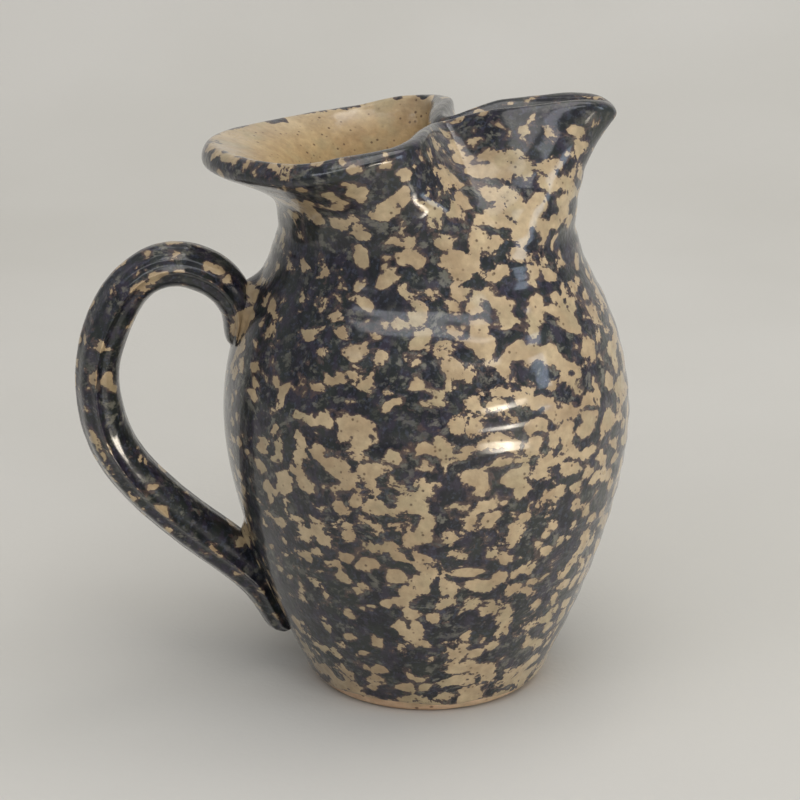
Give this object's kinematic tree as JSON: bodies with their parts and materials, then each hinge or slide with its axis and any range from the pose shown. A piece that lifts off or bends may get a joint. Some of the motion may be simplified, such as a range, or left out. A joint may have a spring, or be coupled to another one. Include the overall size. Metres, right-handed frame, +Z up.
{
  "type": "ceramic pitcher",
  "caption": "Wheel-thrown stoneware pitcher with a pinched collar, raised pouring spout, pulled strap handle and sponged dark glaze over a tan body.",
  "frame": {"origin": "centre of the flat foot, on the surface the pitcher stands on", "axes": "+Z up along the throwing axis, +X from the axis towards the spout tip, -X towards the handle"},
  "size_m": [0.1673, 0.1244, 0.1829],
  "materials": {
    "bare_clay": "matte",
    "sponged_glaze": "gloss",
    "tan_liner": "satin"
  },
  "bodies": {
    "root": {"clay_body": "bare_clay", "clay_handle": "bare_clay", "upper_join_clay": "bare_clay", "lower_join_clay": "bare_clay", "outer_glaze": "sponged_glaze", "liner_glaze": "tan_liner", "handle_glaze": "sponged_glaze"}
  },
  "joints": []
}
